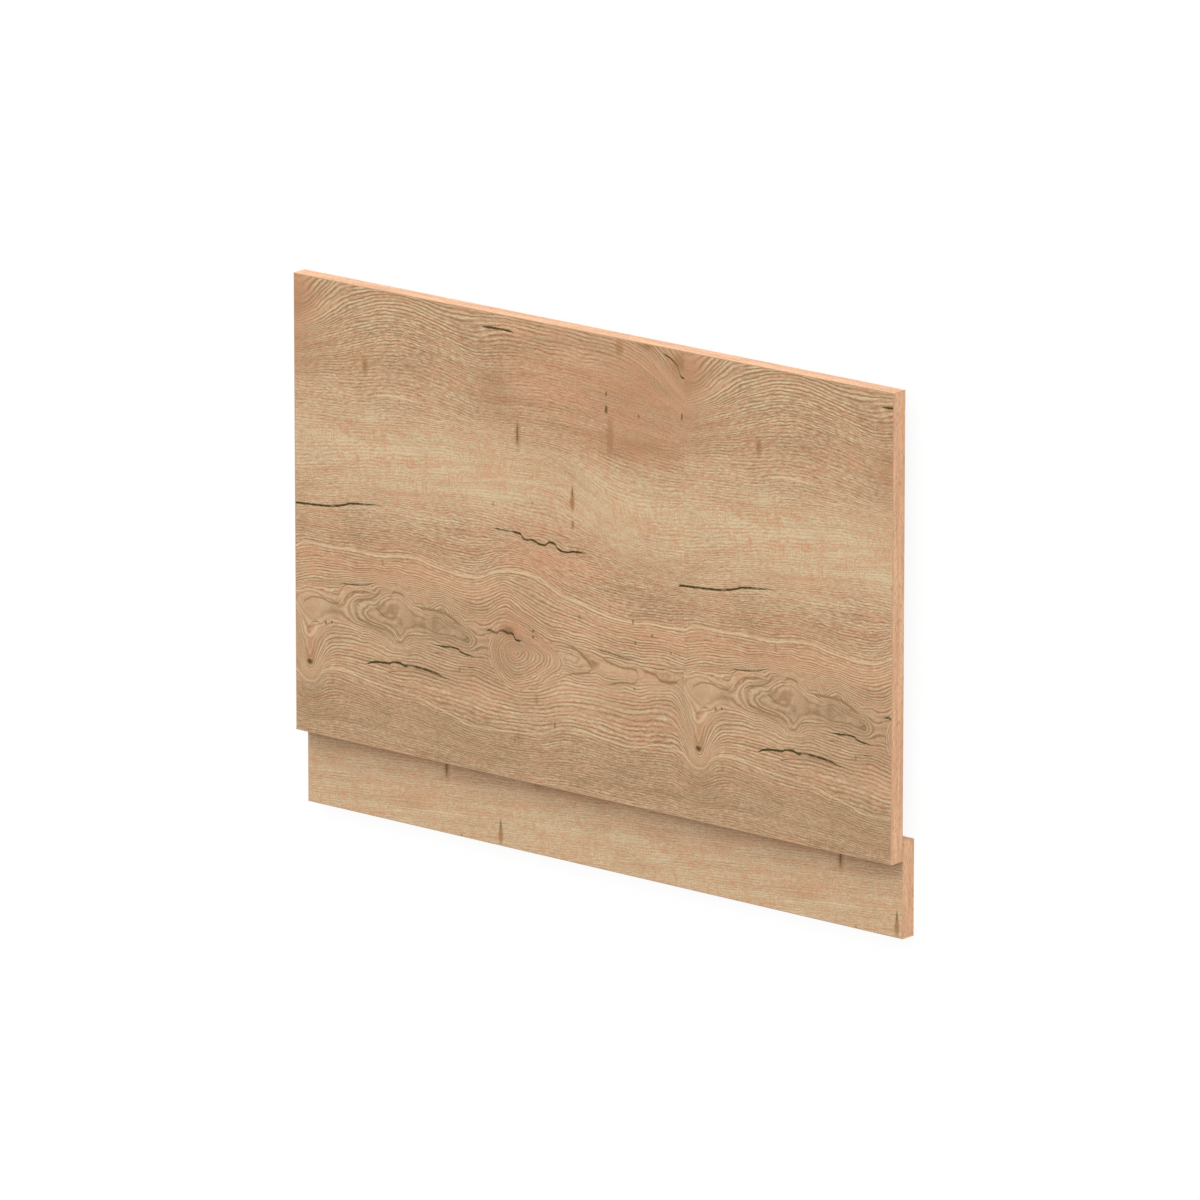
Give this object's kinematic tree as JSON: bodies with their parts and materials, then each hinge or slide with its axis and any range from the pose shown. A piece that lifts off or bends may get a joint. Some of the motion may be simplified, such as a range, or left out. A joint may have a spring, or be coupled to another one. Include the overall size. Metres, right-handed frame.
{
  "type": "bath panel",
  "caption": "Flat wood-grain bath end panel, edged all round, with a low plinth board screwed behind its lower edge; closes the end of a bath from rim to floor.",
  "frame": {"origin": "under the middle of the whole part, at the level of the floor that the plinth's back lies on", "axes": "+X across the width, +Y from the plinth's foot to the panel's top edge, +Z out of the panel's face"},
  "size_m": [0.78, 0.56, 0.036],
  "materials": {
    "oak_board": "matt oak decor on both faces of the board",
    "oak_edging": "matt edging strip, fine straight grain along its length",
    "zinc_screw": "zinc plated"
  },
  "bodies": {
    "root": {"panel_board": "oak_board", "panel_edging_top": "oak_edging", "panel_edging_bottom": "oak_edging", "panel_edging_left": "oak_edging", "panel_edging_right": "oak_edging", "plinth_board": "oak_board", "plinth_edging_top": "oak_edging", "plinth_edging_bottom": "oak_edging", "plinth_edging_left": "oak_edging", "plinth_edging_right": "oak_edging", "plinth_screw_1": "zinc_screw", "plinth_screw_2": "zinc_screw", "plinth_screw_3": "zinc_screw", "plinth_screw_4": "zinc_screw"}
  },
  "joints": []
}
